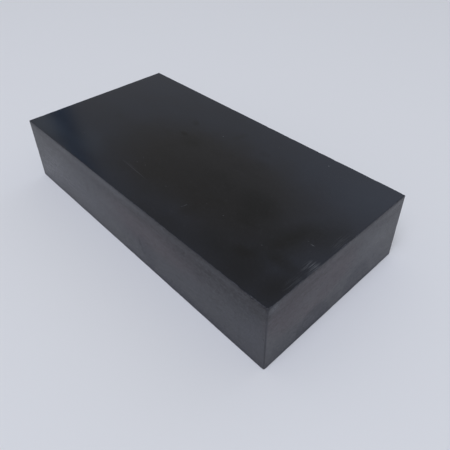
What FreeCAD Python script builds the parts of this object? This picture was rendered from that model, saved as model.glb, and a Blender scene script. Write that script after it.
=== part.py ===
import FreeCAD, Part
import os

# Granite slab: a block of black stone that lies on the bench under leather while it is tooled,
# stamped or punched. It is sawn from a single piece of stone and its edges are rubbed, so the
# whole object is one solid: it has no feet, no fasteners and nothing that moves.
#
# Frame, in millimetres: +X along the length, +Y across the width, +Z up out of the working face.
# The origin is the middle of the underside, the face that the slab rests on.

# Driving dimensions
LENGTH = 300.0
NOMINAL_THICKNESS = 60.0
SAWING_ALLOWANCE = 1.5  # what the saw leaves over the nominal thickness
# Each edge is rubbed to a narrow flat at 45 degrees, which runs this far along both of its faces
HANDLED_ARRIS = 0.8  # on the upright and the bottom edges, where the block is gripped and set down
WORKING_ARRIS = 0.4  # round the working face, which is kept as wide as it can be

# Worked out from them
WIDTH = LENGTH / 2
THICKNESS = NOMINAL_THICKNESS + SAWING_ALLOWANCE

STEP_FOLDER = "parts"


def sawn_block():
    """The square-edged block as the saw leaves it, resting on z = 0."""
    lowest_corner = FreeCAD.Vector(-LENGTH / 2, -WIDTH / 2, 0.0)
    return Part.makeBox(LENGTH, WIDTH, THICKNESS, lowest_corner)


def is_round_the_working_face(edge):
    return all(vertex.Z > THICKNESS - HANDLED_ARRIS / 2 for vertex in edge.Vertexes)


def granite_slab():
    """The sawn block with its twelve edges rubbed: first the handled ones, then the working ones."""
    block = sawn_block()
    handled_edges = [edge for edge in block.Edges if not is_round_the_working_face(edge)]
    block = block.makeChamfer(HANDLED_ARRIS, handled_edges)
    working_edges = [edge for edge in block.Edges if is_round_the_working_face(edge)]
    return block.makeChamfer(WORKING_ARRIS, working_edges)


SUB_PARTS = {"granite_slab": granite_slab}


def export_sub_parts():
    """Writes one STEP file for each sub-part, named after it."""
    os.makedirs(STEP_FOLDER, exist_ok=True)
    for name, make in SUB_PARTS.items():
        shape = make()
        if not shape.isValid() or len(shape.Solids) != 1:
            raise ValueError(name + " is not one valid solid")
        shape.exportStep(os.path.join(STEP_FOLDER, name + ".step"))
        box = shape.BoundBox
        print(name, box.XLength, box.YLength, box.ZLength, "mm,", round(shape.Volume), "mm3")


export_sub_parts()
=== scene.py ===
import math
import random
from itertools import product

import bpy
import numpy as np
from mathutils import Euler, Matrix, Vector, noise


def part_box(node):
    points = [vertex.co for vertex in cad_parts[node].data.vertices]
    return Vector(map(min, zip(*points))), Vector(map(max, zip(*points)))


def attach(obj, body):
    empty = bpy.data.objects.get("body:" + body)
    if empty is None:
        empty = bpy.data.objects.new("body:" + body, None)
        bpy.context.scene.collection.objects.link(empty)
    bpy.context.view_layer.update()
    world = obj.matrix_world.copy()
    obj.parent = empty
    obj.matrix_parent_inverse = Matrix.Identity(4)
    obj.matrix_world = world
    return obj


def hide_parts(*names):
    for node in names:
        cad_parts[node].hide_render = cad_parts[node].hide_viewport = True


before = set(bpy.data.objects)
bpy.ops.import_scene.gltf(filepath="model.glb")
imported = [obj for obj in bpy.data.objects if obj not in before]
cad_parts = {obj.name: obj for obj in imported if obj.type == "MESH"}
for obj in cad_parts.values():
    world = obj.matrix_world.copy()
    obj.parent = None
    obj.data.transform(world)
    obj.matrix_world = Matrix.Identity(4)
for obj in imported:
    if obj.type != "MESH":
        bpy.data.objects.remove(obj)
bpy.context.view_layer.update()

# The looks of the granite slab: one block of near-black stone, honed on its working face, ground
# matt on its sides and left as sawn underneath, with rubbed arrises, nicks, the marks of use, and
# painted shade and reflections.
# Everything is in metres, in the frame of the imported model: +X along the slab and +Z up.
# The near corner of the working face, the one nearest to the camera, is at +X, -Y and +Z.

MM = 0.001
SAME_PLACE = 0.0001 * MM  # places no further apart than this count as one
LOW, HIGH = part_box("granite_slab")
LENGTH, WIDTH, THICKNESS = HIGH - LOW
CENTRE = (LOW + HIGH) / 2
NEAR_CORNER = Vector((HIGH.x, LOW.y, HIGH.z))
SEED = 11


# ------------------------------------------------------------------ mesh of the slab

FACE_STEP = 1.6 * MM  # mesh spacing over the open faces
NICKED_STEP = 0.4 * MM  # and beside the near corner, where the working edges are nicked
NICKED_ALONG = 15 * MM  # how far the nicked stretch runs from that corner along the slab
NICKED_ACROSS = 6 * MM  # and across it
# Rows of vertices beside every edge, as distances from the face: enough to round the widest arris
EDGE_ROWS = [0.0, 0.15 * MM, 0.3 * MM, 0.5 * MM, 0.75 * MM, 1.05 * MM, 1.45 * MM, 2.0 * MM]

HANDLED_ARRIS = 0.65 * MM  # how far the upright and bottom arrises run back from the edge
WORKING_ARRIS = 0.4 * MM  # the same round the working face
WIDEST_ARRIS = 1.9 * MM  # inside the last edge row
ARRIS_BLEND = 4 * MM  # height over which an upright arris narrows as it meets the working face
ARRIS_ROUNDNESS = 1.4  # 1 is a flat at 45 degrees, 2 is a quarter circle
ARRIS_WANDER = 0.3  # how much an arris widens and narrows along its length, as a share of its size
WANDER_LENGTH = 14 * MM
WORN_CORNER = 0.9 * MM  # extra rounding where the near corner is worn
WORN_REACH = 2.6 * MM

NICK_SPACING = 26 * MM  # average distance between the small nicks of handling
NICK_REACH = (0.9 * MM, 1.9 * MM)  # the least and the most
NICK_DEPTH = (0.12 * MM, 0.5 * MM)
# The closer row of small deep nicks along the working edge, as distances from the near corner
NEAR_NICKS = [3.2 * MM, 5.4 * MM, 7.0 * MM, 9.8 * MM, 12.6 * MM]
NEAR_NICK_SIZE = (0.7 * MM, 1.1 * MM)  # the least and the most, for reach and for depth

RELIEF_DEPTH = 0.035 * MM  # of what the saw and the grinder left in the sides
RELIEF_MARGIN = 6 * MM  # the relief fades out this close to an edge, so that edges stay straight
BLADE_RADIUS = 175 * MM  # of the saw blade whose arcs still show
BLADE_ASIDE = 0.4 * LENGTH  # how far its middle stood to one side of the block's
BLADE_BELOW = 0.75 * BLADE_RADIUS  # and below the underside
ARC_PITCH = 7 * MM  # between one arc and the next
ARC_WANDER = 0.35  # how far an arc strays, as a share of the pitch
ARC_WANDER_LENGTH = 20 * MM
ARC_SHARE = 0.55  # of the relief; the rest is in the grinder's swells
SWELL_LENGTH = 30 * MM


def smooth(value):
    """Eases 0 to 1, flat at both ends; values outside are held."""
    value = np.clip(value, 0.0, 1.0)
    return value * value * (3 - 2 * value)


def fall_off(distance, reach):
    """1 at no distance, falling in a bell to about a third at reach."""
    return np.exp(-((distance / reach) ** 2))


def wander(points, size):
    """Smooth noise between about -1 and 1 that changes over the given length."""
    return np.array([noise.noise(Vector(point) / size) for point in points])


def stations(low, high, fine_low=0.0, fine_high=0.0):
    """Places of the mesh rows along one axis, closer together beside both ends.

    fine_low and fine_high are how far a stretch of nicked-edge spacing runs in from each end."""
    rim = EDGE_ROWS[-1]
    bounds = [low + rim, max(low + fine_low, low + rim), min(high - fine_high, high - rim), high - rim]
    places = [low + row for row in EDGE_ROWS]
    for start, end, step in zip(bounds, bounds[1:], (NICKED_STEP, FACE_STEP, NICKED_STEP)):
        count = round((end - start) / step)
        places += [start + (end - start) * (i + 1) / count for i in range(count)]
    places += [high - row for row in reversed(EDGE_ROWS[:-1])]
    return places


def box_surface(axes):
    """Vertices and outward quads of a closed box whose mesh rows stand at the given places."""
    index = {}
    points = []

    def vertex(key):
        if key not in index:
            index[key] = len(points)
            points.append([axes[axis][key[axis]] for axis in range(3)])
        return index[key]

    quads = []
    for across in range(3):
        first, second = (across + 1) % 3, (across + 2) % 3
        for side in (0, len(axes[across]) - 1):
            for i, j in product(range(len(axes[first]) - 1), range(len(axes[second]) - 1)):
                quad = []
                for step_i, step_j in ((0, 0), (1, 0), (1, 1), (0, 1)):
                    key = [0, 0, 0]
                    key[across] = side
                    key[first] = i + step_i
                    key[second] = j + step_j
                    quad.append(vertex(tuple(key)))
                quads.append(quad if side else quad[::-1])
    return np.array(points), quads


def box_edges():
    """The twelve edges of the block, each as its two end corners, which differ along one axis only."""
    corners = [Vector(place) for place in product(*zip(LOW, HIGH))]
    return [
        (start, end)
        for i, start in enumerate(corners)
        for end in corners[i + 1 :]
        if sum(abs(a - b) > SAME_PLACE for a, b in zip(start, end)) == 1
    ]


def nicks():
    """Place, reach and depth of each small flake that handling has knocked off an edge."""
    dice = random.Random(SEED)
    made = []
    for start, end in box_edges():
        length = (end - start).length
        for _ in range(round(length / NICK_SPACING)):
            place = start.lerp(end, dice.random())
            made.append((place, dice.uniform(*NICK_REACH), dice.uniform(*NICK_DEPTH)))
    for back in NEAR_NICKS:
        place = NEAR_CORNER - Vector((back, 0, 0))
        made.append((place, dice.uniform(*NEAR_NICK_SIZE), dice.uniform(*NEAR_NICK_SIZE)))
    return made


def arris_sizes(points):
    """How far the arris runs back from the edge, at each point."""
    below_top = HIGH.z - points[:, 2]
    leg = WORKING_ARRIS + (HANDLED_ARRIS - WORKING_ARRIS) * smooth(below_top / ARRIS_BLEND)
    leg = leg * (1 + ARRIS_WANDER * wander(points, WANDER_LENGTH))
    for place, reach, depth in [(NEAR_CORNER, WORN_REACH, WORN_CORNER)] + nicks():
        away = np.linalg.norm(points - np.array(place), axis=1)
        leg = leg + depth * fall_off(away, reach)
    return np.minimum(leg, WIDEST_ARRIS)


def rub_arrises(points, leg):
    """Draws the points near an edge or a corner back onto its arris, and says which those are."""
    low, high = np.array(LOW), np.array(HIGH)
    inset = np.minimum(points - low, high - points)
    reach = np.maximum(leg[:, None] - inset, 0.0)
    on_arris = (reach > 0).sum(axis=1) > 1
    span = (reach**ARRIS_ROUNDNESS).sum(axis=1) ** (1 / ARRIS_ROUNDNESS)
    shrink = np.where(on_arris, leg / np.maximum(span, SAME_PLACE), 1.0)
    drawn = np.where(reach > 0, leg[:, None] - reach * shrink[:, None], inset)
    inset = np.where(on_arris[:, None], drawn, inset)
    nearer_low = points < (low + high) / 2
    return np.where(nearer_low, low + inset, high - inset), on_arris


def relief(points, along, inward):
    """Depth of the saw arcs and the grinding swells at points of one side, from 0 to 1."""
    radius = np.hypot(points[:, along] - inward * BLADE_ASIDE, points[:, 2] + BLADE_BELOW)
    turns = radius / ARC_PITCH + ARC_WANDER * wander(points, ARC_WANDER_LENGTH)
    arcs = 0.5 + 0.5 * np.sin(2 * math.pi * turns)
    swells = 0.5 + 0.5 * wander(points, SWELL_LENGTH)
    return ARC_SHARE * arcs + (1 - ARC_SHARE) * swells


def press_relief(points):
    """Presses the relief into the four sides, away from their edges."""
    moved = points.copy()
    for axis, along in ((0, 1), (1, 0)):
        for face, inward in ((LOW[axis], 1), (HIGH[axis], -1)):
            on_face = np.abs(points[:, axis] - face) < SAME_PLACE
            here = points[on_face]
            rim = np.minimum(here[:, along] - LOW[along], HIGH[along] - here[:, along])
            rim = np.minimum(rim, np.minimum(here[:, 2] - LOW.z, HIGH.z - here[:, 2]))
            fade = smooth((rim - EDGE_ROWS[-1]) / RELIEF_MARGIN)
            moved[on_face, axis] += inward * RELIEF_DEPTH * fade * relief(here, along, inward)
    return moved


def lay_finishes(mesh, on_arris):
    """Gives every face its finish: rubbed on the arrises, and elsewhere by the way that it faces."""
    for finish in (honed_stone(), ground_stone(), sawn_stone(), rubbed_stone()):
        mesh.materials.append(finish)
    honed, ground, sawn, rubbed = range(4)
    level = 0.9  # a face whose normal rises or falls more than this counts as level
    for face in mesh.polygons:
        rubbed_corners = sum(on_arris[i] for i in face.vertices)
        if rubbed_corners >= 3:
            face.material_index = rubbed
        elif face.normal.z > level:
            face.material_index = honed
        elif face.normal.z < -level:
            face.material_index = sawn
        else:
            face.material_index = ground


def slab_mesh():
    """The block as a closed mesh of quads, with its finishes as material slots."""
    axes = [
        stations(LOW.x, HIGH.x, fine_high=NICKED_ALONG),
        stations(LOW.y, HIGH.y, fine_low=NICKED_ACROSS),
        stations(LOW.z, HIGH.z),
    ]
    points, quads = box_surface(axes)
    points, on_arris = rub_arrises(points, arris_sizes(points))
    points = press_relief(points)
    mesh = bpy.data.meshes.new("granite_block")
    mesh.from_pydata(points.tolist(), [], quads)
    mesh.shade_smooth()
    lay_finishes(mesh, on_arris)
    return mesh


# ------------------------------------------------------------------ nodes of a stone material

class Nodes:
    """A node tree, wired in short calls."""

    def __init__(self, tree):
        self.tree = tree

    def node(self, kind, **settings):
        made = self.tree.nodes.new(kind)
        for name, value in settings.items():
            setattr(made, name, value)
        return made

    def feed(self, socket, value):
        """Links an input to another node's output, or sets it to a plain value."""
        if isinstance(value, bpy.types.NodeSocket):
            self.tree.links.new(value, socket)
        else:
            socket.default_value = value

    def maths(self, operation, first, second=0.0):
        made = self.node("ShaderNodeMath", operation=operation)
        self.feed(made.inputs[0], first)
        self.feed(made.inputs[1], second)
        return made.outputs[0]

    def scale(self, value, by):
        return self.maths("MULTIPLY", value, by)

    def add(self, *values):
        total = values[0]
        for value in values[1:]:
            total = self.maths("ADD", total, value)
        return total

    def filled(self, *values):
        """The sum of the values, held at 1."""
        return self.maths("MINIMUM", self.add(*values), 1.0)

    def largest(self, *values):
        most = values[0]
        for value in values[1:]:
            most = self.maths("MAXIMUM", most, value)
        return most

    def along(self, vector, direction):
        """How far a vector reaches along a direction."""
        made = self.node("ShaderNodeVectorMath", operation="DOT_PRODUCT")
        self.feed(made.inputs[0], vector)
        made.inputs[1].default_value = direction
        return made.outputs["Value"]

    def range(self, value, start, end, low=0.0, high=1.0):
        """Eases from low to high as value goes from start to end."""
        made = self.node("ShaderNodeMapRange", interpolation_type="SMOOTHSTEP")
        for name, number in (("Value", value), ("From Min", start), ("From Max", end),
                             ("To Min", low), ("To Max", high)):
            self.feed(made.inputs[name], number)
        return made.outputs["Result"]

    def tint(self, amount, colour, over, blend="MIX"):
        """Lays a colour over another by amount, 0 to 1."""
        made = self.node("ShaderNodeMix", data_type="RGBA", blend_type=blend)
        self.feed(made.inputs["Factor"], amount)
        self.feed(made.inputs["A"], over)
        self.feed(made.inputs["B"], colour)
        return made.outputs["Result"]

    def layered(self, base, *layers):
        """Lays colours over a base, one on top of the other. A layer is an amount and its colour."""
        for amount, colour in layers:
            base = self.tint(amount, colour, base)
        return base


class Stone(Nodes):
    """A material's nodes around its one Principled shader."""

    def __init__(self, name):
        self.material = bpy.data.materials.new(name)
        self.material.use_nodes = True
        super().__init__(self.material.node_tree)
        self.surface = self.tree.nodes["Principled BSDF"]
        self.place = self.node("ShaderNodeTexCoord").outputs["Object"]

    def stretched(self, sizes):
        """The place measured in units of the given sizes, one for each axis."""
        made = self.node("ShaderNodeVectorMath", operation="DIVIDE")
        self.feed(made.inputs[0], self.place)
        made.inputs[1].default_value = sizes
        return made.outputs[0]

    def noise_node(self, sizes, detail):
        made = self.node("ShaderNodeTexNoise")
        self.feed(made.inputs["Vector"], self.stretched(sizes))
        made.inputs["Scale"].default_value = 1
        made.inputs["Detail"].default_value = detail
        return made

    def noise(self, sizes, detail=2.0, rough=0.5):
        """Cloudy noise about 0.5, whose features are about as large as sizes."""
        made = self.noise_node(sizes, detail)
        made.inputs["Roughness"].default_value = rough
        return made.outputs["Fac"]

    def crystals(self, size):
        """A random number from 0 to 1 for each crystal of about the given size."""
        made = self.node("ShaderNodeTexVoronoi")
        self.feed(made.inputs["Vector"], self.stretched((size, size, size)))
        made.inputs["Scale"].default_value = 1
        parts = self.node("ShaderNodeSeparateColor")
        self.feed(parts.inputs["Color"], made.outputs["Color"])
        return parts.outputs["Red"]

    def ragged(self, amount, size):
        """The place, pushed about by noise, so that what is laid on it has a ragged outline."""
        cloud = self.noise_node((size, size, size), detail=3)
        centred = self.node("ShaderNodeVectorMath", operation="SUBTRACT")
        self.feed(centred.inputs[0], cloud.outputs["Color"])
        centred.inputs[1].default_value = (0.5, 0.5, 0.5)
        pushed = self.node("ShaderNodeVectorMath", operation="MULTIPLY_ADD")
        self.feed(pushed.inputs[0], centred.outputs[0])
        pushed.inputs[1].default_value = (amount, amount, amount)
        self.feed(pushed.inputs[2], self.place)
        return pushed.outputs[0]

    def spot(self, patch, place=None):
        """1 in the core of a patch, easing to 0 at its rim. A ragged place gives it a ragged rim."""
        middle, half_size, turn, core = patch
        made = self.node("ShaderNodeMapping", vector_type="TEXTURE")
        self.feed(made.inputs["Vector"], place or self.place)
        made.inputs["Location"].default_value = middle
        made.inputs["Rotation"].default_value = turn
        made.inputs["Scale"].default_value = half_size
        reach = self.node("ShaderNodeVectorMath", operation="LENGTH")
        self.feed(reach.inputs[0], made.outputs[0])
        return self.range(reach.outputs["Value"], core, 1.0, 1.0, 0.0)

    def spots(self, marks, place=None):
        """The mask of each mark, a mark being a patch and its strength."""
        return [self.scale(self.spot(patch, place), strength) for patch, strength in marks]

    def finish(self, colour, roughness, height, depth, specular):
        """Wires the shader: height from 0 to 1 is a relief of the given depth in metres."""
        self.feed(self.surface.inputs["Base Color"], colour)
        self.feed(self.surface.inputs["Roughness"], roughness)
        self.surface.inputs["Specular IOR Level"].default_value = specular
        bump = self.node("ShaderNodeBump")
        bump.inputs["Distance"].default_value = depth
        self.feed(bump.inputs["Height"], height)
        self.feed(self.surface.inputs["Normal"], bump.outputs["Normal"])
        return self.material


GRAIN = 0.7 * MM  # size of the stone's mineral grains
FLECK = 1.6 * MM  # size of its few paler flecks
FLECK_ABOVE = (0.94, 0.97)  # a crystal of that size starts to show, and shows fully, above these numbers
PALE_GRAIN = (0.0560, 0.0560, 0.0602, 1)


def mineral(stone, base, contrast, flecks):
    """Lays the stone's own grain over a colour: light and dark crystals, and a few pale flecks."""
    grain = stone.crystals(GRAIN)
    pale = stone.range(stone.crystals(FLECK), *FLECK_ABOVE, high=flecks)
    return stone.layered(base, (stone.scale(grain, contrast), PALE_GRAIN), (pale, PALE_GRAIN)), grain


# ------------------------------------------------------------------ the working face

COOL_HONED = (0.0134, 0.0152, 0.0230, 1)  # clean stone
WARM_TONE_AND_REFLECTION = (0.0081, 0.0066, 0.0074, 1)  # warm dark tone of the stone in places, and the painted warm dark reflection over the middle of the face
SMUDGE_AND_REFLECTION_DARK = (0.0014, 0.0006, 0.0008, 1)  # darkest: in smudges, and in the core of the painted dark reflection
PAINTED_REFLECTION_BLUE = (0.0205, 0.0250, 0.0345, 1)  # painted bluish-grey reflection of the room
SCUFF = (0.17, 0.175, 0.185, 1)  # crushed stone in a scratch or a chip
CHIP_SHAPE = 0.8  # a chip's width, as a share of its length


def on_top(along, across, half_length, half_width, turn=0, core=0.1):
    """A patch of the working face: its middle, half sizes, turns, and core.

    along and across are shares of the slab's length and width, from its middle. The half sizes are in
    mm and the turn is in degrees. The core is the share of the way out to the rim that is full."""
    middle = (CENTRE.x + along * LENGTH, CENTRE.y + across * WIDTH, HIGH.z)
    tall = THICKNESS  # so that a place that ragged() pushes up or down stays well inside
    return middle, (half_length * MM, half_width * MM, tall), (0, 0, math.radians(turn)), core


# Marks, each a patch and its strength
SCRATCHES = [
    (on_top(-0.060, -0.333, 25.0, 0.26, turn=-3.6), 0.36),
    (on_top(-0.078, -0.322, 10.0, 0.20, turn=-2), 0.25),
    (on_top(0.152, -0.329, 2.6, 0.40, turn=82), 0.32),
    (on_top(0.150, -0.345, 1.4, 0.35, turn=70), 0.25),
    (on_top(-0.085, -0.232, 2.4, 0.30, turn=-35), 0.20),
    (on_top(-0.053, -0.268, 1.5, 0.40, turn=-35), 0.28),
    (on_top(0.450, -0.104, 2.2, 0.55, turn=4), 0.50),
    (on_top(0.436, -0.098, 1.2, 0.35, turn=12), 0.25),
]
CHIPS = [
    # along, across, half length in mm, strength
    (0.293, 0.429, 0.75, 1.0),
    (-0.013, 0.231, 0.70, 0.7),
    (0.140, 0.379, 0.50, 0.3),
    (0.120, 0.265, 0.45, 0.2),
    (0.243, -0.249, 0.55, 0.4),
    (0.183, -0.245, 0.45, 0.25),
    (0.060, -0.303, 0.60, 0.3),
    (0.373, -0.262, 0.60, 0.3),
    (-0.317, -0.328, 0.60, 0.25),
    (-0.081, -0.280, 0.55, 0.35),
]
RUBBED_PATCHES = [  # made of short strokes across the slab
    (on_top(0.491, -0.213, 7.5, 9, core=0.2), 0.50),
    (on_top(0.487, 0.000, 5.5, 13, core=0.2), 0.12),
    (on_top(0.492, -0.330, 5.0, 11, core=0.2), 0.13),
]
PAINTED_REFLECTION_ZONE = on_top(0.09, -0.07, 136, 68, core=0.40)  # painted warm dark reflection over most of the face
PAINTED_REFLECTION_CORE = on_top(0.20, -0.13, 105, 42, core=0.0)  # the darkest core of that painted reflection
SMUDGES = [
    (on_top(0.277, -0.075, 27, 19, turn=-10), 0.75),
    (on_top(0.290, -0.190, 18, 8, turn=-5), 0.40),
    (on_top(0.425, -0.060, 14, 24, turn=8), 0.40),
    (on_top(0.465, 0.000, 18, 26), 0.55),
    (on_top(0.400, -0.120, 11, 30, turn=-6), 0.35),
    (on_top(0.400, -0.190, 18, 34), 0.36),
    (on_top(0.370, -0.290, 42, 30), 0.25),
    (on_top(0.440, -0.275, 15, 8), 0.45),
    (on_top(0.360, -0.343, 13, 8, turn=20), 0.30),
    (on_top(0.120, -0.063, 17, 12), 0.25),
    (on_top(0.167, 0.164, 15, 10, turn=15), 0.30),
    (on_top(0.135, 0.090, 18, 8, turn=10), 0.35),
    (on_top(0.140, 0.265, 10, 5), 0.25),
    (on_top(0.073, 0.124, 8, 5, turn=30), 0.20),
    (on_top(0.023, 0.300, 4, 12, turn=-10), 0.30),
    (on_top(-0.060, 0.060, 17, 13, turn=-15), 0.50),
    (on_top(-0.127, 0.217, 8, 4, turn=-30), 0.45),
    (on_top(-0.107, 0.087, 7, 3.5, turn=-12), 0.90),
    (on_top(-0.327, -0.063, 8, 6), 0.20),
    (on_top(0.390, -0.430, 40, 26), 0.60),
    (on_top(0.480, -0.370, 14, 30), 0.50),
    (on_top(0.280, -0.400, 24, 16), 0.45),
    (on_top(0.180, -0.480, 55, 14), 0.35),
]
# Painted bluish-grey reflection at two corners of the working face, each a patch and its strength
PAINTED_REFLECTION_CORNERS = [
    (on_top(-0.44, -0.44, 40, 16, core=0.2), 1.0),
    (on_top(-0.28, -0.41, 40, 10, core=0.0), 0.5),
    (on_top(-0.27, -0.33, 44, 14, turn=-17.2, core=0.0), 0.60),
    (on_top(-0.27, -0.48, 50, 8, core=0.0), 0.5),
    (on_top(0.46, 0.36, 46, 44, core=0.0), 0.45),
]


def marks_on_top(stone):
    """Scratches, chips and the rubbed patches at one end of the working face, as one mask."""
    chips = [
        (on_top(along, across, half_length, half_length * CHIP_SHAPE, core=0.3), strength)
        for along, across, half_length, strength in CHIPS
    ]
    strokes = stone.range(stone.noise((0.75 * MM, 16 * MM, 16 * MM), detail=1), 0.46, 0.62)
    rubbed = [stone.scale(patch, strokes) for patch in stone.spots(RUBBED_PATCHES)]
    mask = stone.largest(*stone.spots(SCRATCHES + chips), *rubbed)
    gaps = stone.noise((0.5 * MM, 0.5 * MM, 0.5 * MM), detail=3)
    return stone.scale(mask, stone.range(gaps, 0.3, 0.6, low=0.35))


def smudges_and_reflection_on_top(stone, painted_reflection, loose, close):
    """The darker marks, as one mask: the painted reflection's core and its wisps, and smudges."""
    reflection_core = stone.scale(stone.spot(PAINTED_REFLECTION_CORE, loose), 0.45)
    wisps = stone.noise((16 * MM, 8 * MM, 16 * MM), detail=4, rough=0.6)
    wisps = stone.range(wisps, 0.5, 0.8, high=0.35)
    return stone.filled(reflection_core, stone.scale(painted_reflection, wisps), *stone.spots(SMUDGES, close))


def honed_stone():
    """The working face: satin near-black, with a painted warm dark reflection over its middle and a
    painted bluish-grey reflection at two corners.
    """
    stone = Stone("honed_stone")
    loose = stone.ragged(amount=30 * MM, size=36 * MM)
    close = stone.ragged(amount=6 * MM, size=8 * MM)
    clouds = stone.noise((60 * MM, 38 * MM, 60 * MM), detail=4, rough=0.55)
    painted_reflection = stone.spot(PAINTED_REFLECTION_ZONE, loose)
    marks = marks_on_top(stone)
    colour = stone.layered(
        COOL_HONED,
        (stone.range(clouds, 0.3, 0.7, high=0.25), WARM_TONE_AND_REFLECTION),
        # painted reflections: warm and dark over the middle, bluish-grey at two corners
        (painted_reflection, WARM_TONE_AND_REFLECTION),
        (stone.add(*stone.spots(PAINTED_REFLECTION_CORNERS, close)), PAINTED_REFLECTION_BLUE),
        (smudges_and_reflection_on_top(stone, painted_reflection, loose, close), SMUDGE_AND_REFLECTION_DARK),
    )
    colour, grain = mineral(stone, colour, contrast=0.045, flecks=0.04)
    colour = stone.tint(marks, SCUFF, colour)
    # honing lines run along the slab
    lines = stone.noise((45 * MM, 0.9 * MM, 45 * MM), detail=3, rough=0.6)
    roughness = stone.add(
        0.10,
        stone.scale(clouds, 0.03),
        stone.scale(lines, 0.03),
        stone.scale(grain, 0.01),
        stone.scale(marks, 0.35),
    )
    height = stone.add(stone.scale(lines, 0.5), stone.scale(grain, 0.3))
    return stone.finish(colour, roughness, height, depth=0.004 * MM, specular=0.35)


# ------------------------------------------------------------------ the sides

DUSTED = (0.0511, 0.0529, 0.0630, 1)  # with pale dust in its pores
GROUND = (0.0266, 0.0269, 0.0311, 1)
HANDLED = (0.0483, 0.0315, 0.0385, 1)  # warm where it is gripped
GRIMY_AND_SHADED = (0.0091, 0.0063, 0.0077, 1)
DAMP_AND_SHADE = (0.0056, 0.0063, 0.0196, 1)  # blue-black: damp marks, and painted shade and dark reflections about the foot of the sides
PITTED = (0.0112, 0.0109, 0.0126, 1)  # in the pores between the crystals
STAIN_DEPTH = 9 * MM  # how far a stain's patch reaches into the block
# What runs round the block, by its depth below the working face or its height over the bench
WORN_HIGHLIGHT_STRIP = (8 * MM, 3 * MM)  # paler strip under the top, worn and with a painted highlight along it: where it starts to show, and above which it is full
TIDE_LINE = (4.5 * MM, 9 * MM, 17 * MM)  # grime: where it starts, is darkest and ends
RIM_GRIME = (4 * MM, 1 * MM)  # right under the top: where it starts to show, and above which it is full
PAINTED_FOOT_SHADE = 8 * MM  # height at which the painted contact shade along the foot of the sides has faded out


def on_long_side(along, up, half_length, half_height, turn=0, core=0.1):
    """A patch of the long side at -Y, as on_top() makes one. Up is a share of the height."""
    middle = (CENTRE.x + along * LENGTH, LOW.y, LOW.z + up * THICKNESS)
    return middle, (half_length * MM, STAIN_DEPTH, half_height * MM), (0, math.radians(turn), 0), core


def on_short_side(across, up, half_width, half_height, turn=0, core=0.1):
    """A patch of the short side at +X, in the same way."""
    middle = (HIGH.x, CENTRE.y + across * WIDTH, LOW.z + up * THICKNESS)
    return middle, (STAIN_DEPTH, half_width * MM, half_height * MM), (math.radians(turn), 0, 0), core


# Soft stains on the two handled sides, each a patch and its strength, with painted shade in the broad
# dark band under the top that widens towards the near corner. A negative one wipes clean
GRIME_STAINS_AND_SHADE = [
    (on_long_side(-0.185, 0.58, 3.0, 12, turn=12), 0.32),
    (on_long_side(-0.172, 0.44, 2.6, 6, turn=35), 0.16),
    (on_long_side(-0.400, 0.885, 26, 0.7, turn=1.6, core=0.2), 0.30),
    (on_long_side(-0.330, 0.860, 30, 0.8, turn=1, core=0.2), 0.28),
    (on_long_side(-0.420, 0.940, 32, 6), 0.25),
    (on_long_side(-0.415, 0.35, 3, 2), 0.20),
    (on_long_side(-0.100, 0.81, 24, 8, core=0.0), 0.16),
    (on_long_side(0.065, 0.81, 24, 8, core=0.0), 0.20),
    (on_long_side(0.240, 0.84, 11, 6, turn=10, core=0.0), 0.30),
    (on_long_side(0.325, 0.82, 7, 3.2, turn=-15, core=0.0), 0.35),
    (on_long_side(0.297, 0.69, 9, 5.5, turn=-20, core=0.0), 0.35),
    (on_long_side(0.350, 0.67, 12, 2.2, turn=5, core=0.0), 0.22),
    (on_long_side(0.295, 0.61, 9, 3.0, turn=-10, core=0.0), 0.28),
    (on_long_side(0.305, 0.84, 8, 4.0, core=0.0), 0.25),
    (on_long_side(0.070, 0.70, 12, 3.0, core=0.0), 0.20),
    (on_long_side(-0.375, 0.70, 10, 5.0, core=0.0), 0.18),
    (on_long_side(0.260, 0.90, 95, 22, turn=4, core=0.3), 0.47),
    (on_long_side(0.470, 0.92, 26, 9, core=0.2), 0.40),
    (on_short_side(-0.250, 0.86, 32, 12, core=0.2), 0.26),
    (on_short_side(0.080, 0.82, 18, 8), 0.24),
    (on_short_side(0.420, 0.83, 12, 4), 0.14),
    (on_short_side(-0.020, 0.18, 10, 14, core=0.0), 0.36),
    (on_short_side(-0.400, 0.80, 13, 9, core=0.0), 0.16),
    (on_short_side(-0.450, 0.96, 6.5, 4.0, core=0.6), -0.35),
]
# Blue-black marks: a few damp stains, and painted shade: a band along the foot of the long side, dark
# reflections rising in humps from the foot of the short side, and the darker near end of the long side
DAMP_STAINS_AND_SHADE = [
    (on_long_side(0.062, 0.33, 2.6, 10, turn=-22), 0.42),
    (on_long_side(0.075, 0.24, 5, 4, turn=20, core=0.0), 0.30),
    (on_long_side(0.100, 0.18, 11, 9, core=0.0), 0.45),
    (on_long_side(0.088, 0.37, 20, 16, core=0.0), 0.30),
    (on_long_side(0.270, 0.02, 90, 15), 0.35),
    (on_long_side(0.460, 0.45, 20, 30), 0.22),
    (on_short_side(-0.170, 0.00, 21.5, 25, core=0.76), 0.46),
    (on_short_side(0.168, 0.00, 21, 28, core=0.76), 0.31),
    (on_short_side(-0.410, 0.00, 24, 19, core=0.50), 0.26),
    (on_short_side(0.390, 0.18, 16, 5), 0.18),
    (on_short_side(-0.290, 0.16, 9, 10, core=0.0), 0.25),
    (on_long_side(-0.440, 0.14, 14, 4, core=0.0), 0.25),
]
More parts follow.
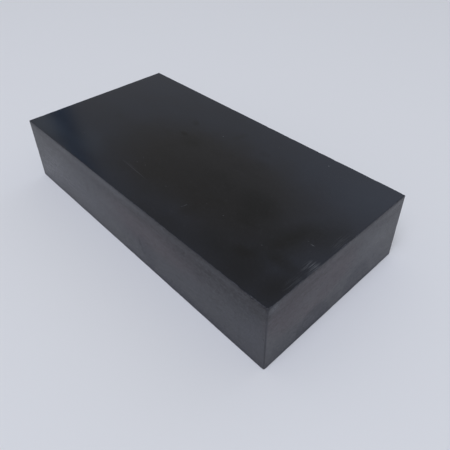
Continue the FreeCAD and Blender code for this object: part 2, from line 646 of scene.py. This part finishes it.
# Paler patches: dust, and painted sheen where the long side grows lighter towards its far left end and
# the short side towards its right
PALE_STAINS_AND_SHEEN = [
    (on_short_side(-0.460, 0.935, 5.5, 3.0, core=0.5), 0.85),
    (on_short_side(0.420, 0.925, 14, 2.2, turn=2, core=0.2), 0.80),
    (on_short_side(0.300, 0.60, 46, 18), 0.52),
    (on_short_side(-0.450, 0.45, 8, 14, core=0.0), 0.40),
    (on_short_side(-0.210, 0.62, 28, 9, core=0.0), 0.35),
    (on_short_side(0.207, 0.75, 2.2, 1.4, core=0.2), 0.40),
    (on_long_side(-0.330, 0.42, 66, 26), 0.70),
    (on_long_side(-0.450, 0.18, 34, 20), 0.90),
    (on_long_side(-0.200, 0.36, 50, 18), 0.50),
    (on_long_side(-0.250, 0.50, 95, 34), 0.35),
    (on_long_side(0.470, 0.45, 16, 24), 0.80),
    (on_long_side(-0.310, 0.55, 16, 8), 0.30),
    (on_long_side(-0.075, 0.58, 26, 7), 0.50),
    (on_long_side(-0.065, 0.26, 13, 6), 0.30),
    (on_long_side(0.425, 0.40, 24, 14), 0.45),
    (on_long_side(-0.010, 0.935, 80, 4), 0.40),
]
WARM_STAINS = [
    (on_long_side(0.105, 0.66, 90, 22, turn=-4, core=0.3), 0.90),
    (on_short_side(-0.200, 0.66, 62, 26, core=0.6), 0.90),
]


def bands_round_sides(stone):
    """Masks of what runs round the block: the paler strip under the top with its painted highlight, the
    grime, and the painted contact shade at the foot.
    """
    split = stone.node("ShaderNodeSeparateXYZ")
    stone.feed(split.inputs[0], stone.ragged(amount=5 * MM, size=22 * MM))
    up = split.outputs["Z"]
    below_top = stone.maths("SUBTRACT", HIGH.z, up)
    drift = stone.noise((55 * MM, 55 * MM, 30 * MM))
    coming_and_going = stone.range(drift, 0.4, 0.6, low=0.2)
    worn_highlight = stone.scale(stone.range(below_top, *WORN_HIGHLIGHT_STRIP, high=0.25), coming_and_going)
    start, darkest, end = TIDE_LINE
    growing = stone.range(below_top, start, darkest, high=0.22)
    fading = stone.range(below_top, end, darkest)
    tide = stone.scale(stone.scale(growing, fading), coming_and_going)
    rim = stone.range(below_top, *RIM_GRIME, high=0.50)
    foot_shade = stone.range(up, PAINTED_FOOT_SHADE, 0.0, high=0.58)
    return worn_highlight, stone.add(tide, rim), foot_shade


def ground_stone():
    """The four sides: ground matt, dusty and stained, with painted shade where they meet the bench and
    by the near corner, and painted sheen towards the far ends.
    """
    stone = Stone("ground_stone")
    loose = stone.ragged(amount=9 * MM, size=16 * MM)
    close = stone.ragged(amount=3 * MM, size=5 * MM)
    patchy = stone.range(stone.noise((46 * MM, 46 * MM, 20 * MM), detail=4, rough=0.55), 0.35, 0.65)
    mottle = stone.noise((3.4 * MM, 3.4 * MM, 1.6 * MM), detail=4, rough=0.75)
    streaks = stone.noise((18 * MM, 18 * MM, 1.3 * MM), detail=3, rough=0.6)
    worn_highlight, grimy_bands, foot_shade = bands_round_sides(stone)
    warm = stone.filled(*stone.spots(WARM_STAINS, loose))
    pale = stone.filled(worn_highlight, *stone.spots(PALE_STAINS_AND_SHEEN, close))
    grime_and_shade = stone.filled(grimy_bands, *stone.spots(GRIME_STAINS_AND_SHADE, close))
    damp_and_shade = stone.filled(foot_shade, *stone.spots(DAMP_STAINS_AND_SHADE, close))
    colour = stone.layered(
        GROUND,
        (stone.scale(patchy, 0.6), DUSTED),
        (warm, HANDLED),
        (pale, DUSTED),
        (grime_and_shade, GRIMY_AND_SHADED),
        (damp_and_shade, DAMP_AND_SHADE),
        (stone.range(streaks, 0.5, 0.75, high=0.45), DUSTED),
        (stone.range(mottle, 0.50, 0.72, high=0.90), DUSTED),
        (stone.range(mottle, 0.50, 0.28, high=0.80), PITTED),
    )
    colour, grain = mineral(stone, colour, contrast=0.60, flecks=0.60)
    roughness = stone.add(
        0.55,
        stone.scale(grime_and_shade, 0.13),
        stone.scale(damp_and_shade, 0.13),
        stone.scale(pale, -0.06),
        stone.scale(patchy, 0.04),
        stone.scale(mottle, -0.28),
        stone.scale(streaks, -0.16),
    )
    height = stone.add(stone.scale(mottle, 0.5), stone.scale(streaks, 0.6), stone.scale(grain, 0.5))
    return stone.finish(colour, roughness, height, depth=0.06 * MM, specular=0.27)


# ------------------------------------------------------------------ the underside and the arrises

SAWN = (0.036, 0.036, 0.038, 1)
SAWN_PALE = (0.055, 0.055, 0.058, 1)
KERFED = (0.075, 0.075, 0.078, 1)  # stone dust in the saw's kerf lines


def sawn_stone():
    """The underside: left as the saw cut it, paler and rough, with straight kerf lines."""
    stone = Stone("sawn_stone")
    kerfs = stone.noise((1.2 * MM, 90 * MM, 90 * MM), detail=3, rough=0.6)
    clouds = stone.noise((50 * MM, 50 * MM, 50 * MM), detail=4)
    colour = stone.layered(
        SAWN,
        (stone.range(clouds, 0.3, 0.7), SAWN_PALE),
        (stone.range(kerfs, 0.45, 0.7, high=0.5), KERFED),
    )
    colour, grain = mineral(stone, colour, contrast=0.3, flecks=0.3)
    roughness = stone.add(0.55, stone.scale(kerfs, 0.2), stone.scale(grain, 0.1))
    height = stone.add(kerfs, stone.scale(grain, 0.4))
    return stone.finish(colour, roughness, height, depth=0.08 * MM, specular=0.35)


def rubbed_stone():
    """The arrises: eased with a stone block, with pale dust in the scratches that it left."""
    stone = Stone("rubbed_stone")
    wear = stone.noise((4 * MM, 4 * MM, 4 * MM), detail=4, rough=0.6)
    colour = stone.tint(stone.range(wear, 0.3, 0.7, low=0.1, high=0.8), DUSTED, PITTED)
    colour, grain = mineral(stone, colour, contrast=0.4, flecks=0.4)
    roughness = stone.add(0.34, stone.scale(wear, 0.2))
    height = stone.add(wear, stone.scale(grain, 0.5))
    return stone.finish(colour, roughness, height, depth=0.03 * MM, specular=0.35)


def build_slab():
    slab = bpy.data.objects.new("granite_block", slab_mesh())
    bpy.context.scene.collection.objects.link(slab)
    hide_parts("granite_slab")
    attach(slab, "root")


# ------------------------------------------------------------------ floor, light and camera

FLOOR_REACH = 12 * LENGTH
FLOOR_COLOUR = (0.82, 0.81, 0.80, 1)

KEY_TOWARD = (300, 62)  # the lamp's heading and height in degrees, as toward() takes them
KEY_RADIANCE = (4.6, 4.9, 5.9)
KEY_DISTANCE = 20 * LENGTH
KEY_SIZE = 12 * LENGTH

ROOM = (0.33, 0.333, 0.30, 1)  # radiance of the room high up
HORIZON = (0.0, 0.05, 0.40, 1)  # what is added to it level with the floor
HORIZON_FALLOFF = 4
GLOW = (0.37, 0.43, 0.58, 1)  # what a large far window adds, with no hard edge
GLOW_TOWARD = (100, 30)
GLOW_FALLOFF = 12
GAP = (0.10, 0.28, 0.55, 1)  # what is left of the room in a dark upright gap between two screens
GAP_HEADING = 161.7
GAP_LEAN = 0.122  # how far the gap leans over, as a slope
GAP_EDGE = (0.0234, 0.0126)  # sines of how far off its middle it starts to darken, and is darkest
GAP_END = 0.2  # the sine over which it fades out, as it passes overhead and underneath
BACKDROP = (0.72, 0.73, 0.76, 1)  # what stands behind the floor in a low view

CAMERA_PLACE = (0.8669, -0.6950, 0.9420)  # in slab lengths
CAMERA_HEADING = 46.45  # degrees anticlockwise from +Y
CAMERA_DOWN = 37.66  # degrees below level
CAMERA_ROLL = -0.37  # degrees about the line of sight
LENS = 38.27  # mm, for a picture 36 mm wide
PICTURE_WIDTH = 36
SHIFT = (-0.0111, -0.0848)  # shares of the picture's width


def build_floor():
    """A plain pale floor, wide enough to pass out of the picture on every side."""
    corners = [(-1, -1), (1, -1), (1, 1), (-1, 1)]
    mesh = bpy.data.meshes.new("floor")
    mesh.from_pydata([(x * FLOOR_REACH, y * FLOOR_REACH, LOW.z) for x, y in corners], [], [(0, 1, 2, 3)])
    material = bpy.data.materials.new("pale_floor")
    material.use_nodes = True
    surface = material.node_tree.nodes["Principled BSDF"]
    surface.inputs["Base Color"].default_value = FLOOR_COLOUR
    surface.inputs["Roughness"].default_value = 0.9
    surface.inputs["Specular IOR Level"].default_value = 0.2
    mesh.materials.append(material)
    ground = bpy.data.objects.new("floor", mesh)
    bpy.context.scene.collection.objects.link(ground)


def toward(heading, height):
    """The direction of a heading, anticlockwise from +X, and a height above level, in degrees."""
    heading, height = math.radians(heading), math.radians(height)
    level = math.cos(height)
    return Vector((math.cos(heading) * level, math.sin(heading) * level, math.sin(height)))


def build_world():
    """A dim room, cool towards the horizon, with one soft glow and one dark gap in it."""
    world = bpy.data.worlds.new("studio")
    bpy.context.scene.world = world
    world.use_nodes = True
    sky = Nodes(world.node_tree)
    direction = sky.node("ShaderNodeTexCoord").outputs["Generated"]
    lowness = sky.maths("SUBTRACT", 1.0, sky.along(direction, (0, 0, 1)))
    horizon = sky.maths("POWER", lowness, HORIZON_FALLOFF)
    facing = sky.maths("MAXIMUM", sky.along(direction, toward(*GLOW_TOWARD)), 0.0)
    glow = sky.maths("POWER", facing, GLOW_FALLOFF)
    room = sky.tint(horizon, HORIZON, ROOM, "ADD")
    room = sky.tint(glow, GLOW, room, "ADD")
    # the gap is a thin slice of directions to one side of the room
    across_gap = toward(GAP_HEADING + 90, 0) + Vector((0, 0, GAP_LEAN))
    off_gap = sky.maths("ABSOLUTE", sky.along(direction, across_gap))
    in_gap = sky.range(off_gap, *GAP_EDGE)
    on_that_side = sky.range(sky.along(direction, toward(GAP_HEADING, 0)), 0.0, GAP_END)
    room = sky.tint(sky.scale(in_gap, on_that_side), GAP, room, "MULTIPLY")
    seen = sky.node("ShaderNodeLightPath").outputs["Is Camera Ray"]
    sky.feed(sky.tree.nodes["Background"].inputs["Color"], sky.tint(seen, BACKDROP, room))


def build_key_lamp():
    """A large square soft light turned to the slab, which the camera doesn't see."""
    light = bpy.data.lights.new("key", "AREA")
    light.size = KEY_SIZE
    brightest = max(KEY_RADIANCE)
    light.color = [part / brightest for part in KEY_RADIANCE]
    light.energy = brightest * math.pi * KEY_SIZE**2
    lamp = bpy.data.objects.new("key", light)
    lamp.visible_camera = False
    aim = toward(*KEY_TOWARD)
    lamp.location = Vector((0, 0, CENTRE.z)) + aim * KEY_DISTANCE
    lamp.rotation_euler = aim.to_track_quat("Z", "Y").to_euler()
    bpy.context.scene.collection.objects.link(lamp)


def build_camera():
    """The photograph's view, from above the near corner and about one slab length away from it."""
    data = bpy.data.cameras.new("camera")
    data.sensor_width = PICTURE_WIDTH
    data.lens = LENS
    data.shift_x, data.shift_y = SHIFT
    camera = bpy.data.objects.new("camera", data)
    camera.location = Vector(CAMERA_PLACE) * LENGTH
    heading, down, roll = map(math.radians, (CAMERA_HEADING, CAMERA_DOWN, CAMERA_ROLL))
    level = Euler((math.pi / 2 - down, 0, heading)).to_matrix()
    camera.rotation_euler = (level @ Matrix.Rotation(roll, 3, "Z")).to_euler()
    bpy.context.scene.collection.objects.link(camera)
    bpy.context.scene.camera = camera


build_slab()
build_floor()
build_world()
build_key_lamp()
build_camera()
bpy.context.scene.view_settings.view_transform = "Standard"
